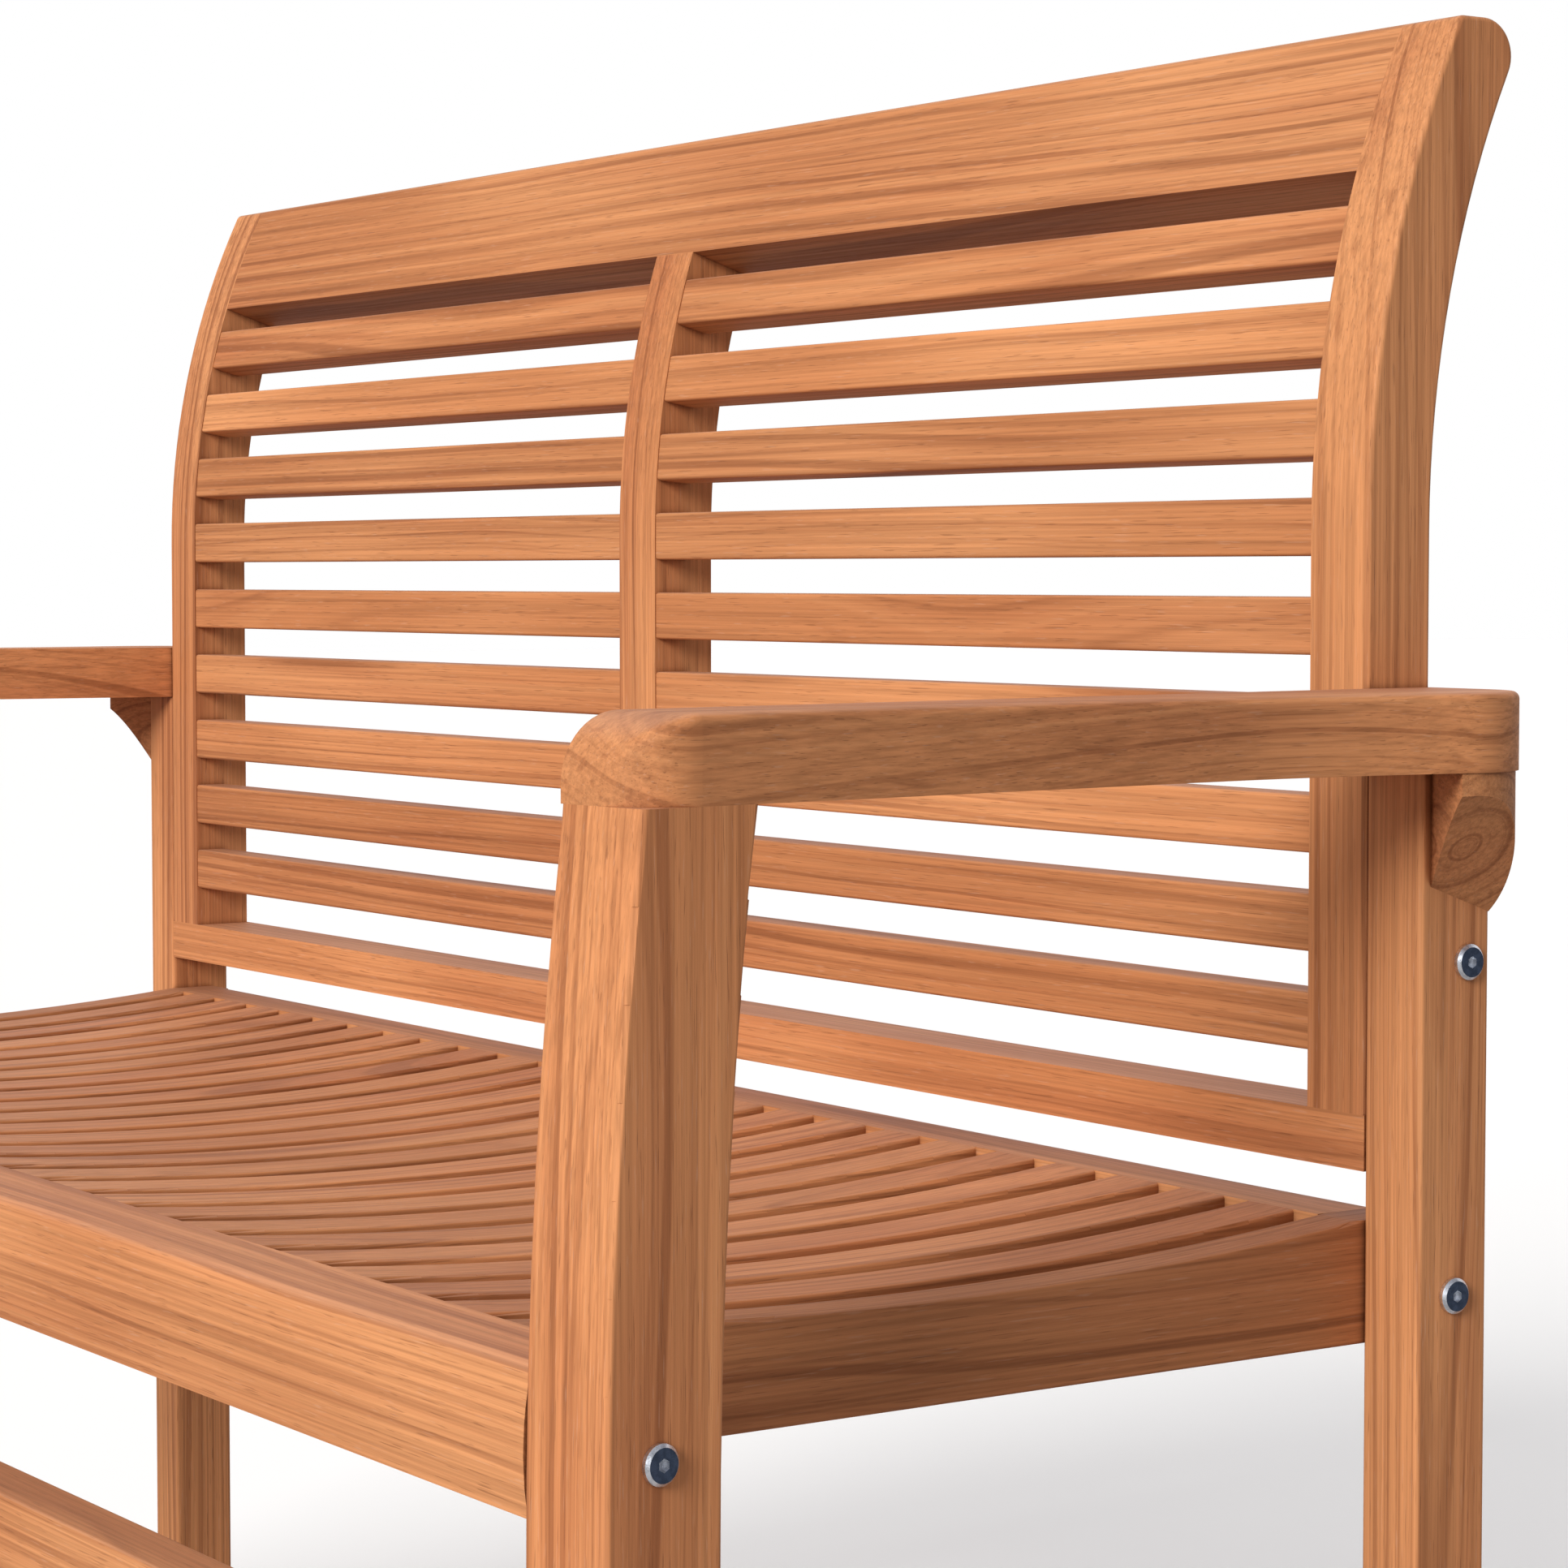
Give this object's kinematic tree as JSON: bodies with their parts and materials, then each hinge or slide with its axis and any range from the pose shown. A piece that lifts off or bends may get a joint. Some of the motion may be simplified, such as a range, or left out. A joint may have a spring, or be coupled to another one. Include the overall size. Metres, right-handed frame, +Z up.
{
  "type": "garden bench",
  "caption": "Two-seat slatted teak garden bench with a dished seat, a backward-curving slatted back, flat arms and corbels under the arms.",
  "frame": {"origin": "middle of the bench's bounding box in plan, at the ground under the feet", "axes": "+X along the bench to the right seen from the front, +Y from the front to the back, +Z up"},
  "size_m": [1.202, 0.4666, 0.9],
  "materials": {
    "teak_frame": "unfinished fine-grained teak, matt",
    "teak_seat_slats": "unfinished teak, greyer on top, matt",
    "teak_back_slats": "unfinished teak with straight grain, matt",
    "zinc_steel": "zinc plated, satin",
    "plain_steel": "plain steel",
    "beech_dowel": "plain beech"
  },
  "bodies": {
    "root": {"front_leg_right": "teak_frame", "front_leg_left": "teak_frame", "rear_leg_right": "teak_frame", "rear_leg_left": "teak_frame", "arm_right": "teak_frame", "arm_left": "teak_frame", "arm_bracket_right": "teak_frame", "arm_bracket_left": "teak_frame", "seat_side_rail_right": "teak_frame", "seat_side_rail_left": "teak_frame", "back_stile_right": "teak_frame", "back_stile_left": "teak_frame", "seat_front_rail": "teak_frame", "seat_rear_rail": "teak_frame", "lower_front_rail": "teak_frame", "back_top_rail": "teak_frame", "back_bottom_rail": "teak_frame", "back_centre_stile": "teak_frame", "seat_slat_01": "teak_seat_slats", "seat_slat_02": "teak_seat_slats", "seat_slat_03": "teak_seat_slats", "seat_slat_04": "teak_seat_slats", "seat_slat_05": "teak_seat_slats", "seat_slat_06": "teak_seat_slats", "seat_slat_07": "teak_seat_slats", "seat_slat_08": "teak_seat_slats", "seat_slat_09": "teak_seat_slats", "seat_slat_10": "teak_seat_slats", "seat_slat_11": "teak_seat_slats", "seat_slat_12": "teak_seat_slats", "seat_slat_13": "teak_seat_slats", "seat_slat_14": "teak_seat_slats", "seat_slat_15": "teak_seat_slats", "seat_slat_16": "teak_seat_slats", "seat_slat_17": "teak_seat_slats", "seat_slat_18": "teak_seat_slats", "seat_slat_19": "teak_seat_slats", "seat_slat_20": "teak_seat_slats", "seat_slat_21": "teak_seat_slats", "seat_slat_22": "teak_seat_slats", "seat_slat_23": "teak_seat_slats", "seat_slat_24": "teak_seat_slats", "back_slat_row_1": "teak_back_slats", "back_slat_row_2": "teak_back_slats", "back_slat_row_3": "teak_back_slats", "back_slat_row_4": "teak_back_slats", "back_slat_row_5": "teak_back_slats", "back_slat_row_6": "teak_back_slats", "back_slat_row_7": "teak_back_slats", "back_slat_row_8": "teak_back_slats", "back_slat_row_9": "teak_back_slats", "front_bolts": "zinc_steel", "seat_bolts": "zinc_steel", "back_bolts": "zinc_steel", "barrel_nuts": "plain_steel", "threaded_inserts": "plain_steel", "front_rail_dowels": "beech_dowel", "back_rail_dowels": "beech_dowel", "bracket_dowels": "beech_dowel"}
  },
  "joints": []
}
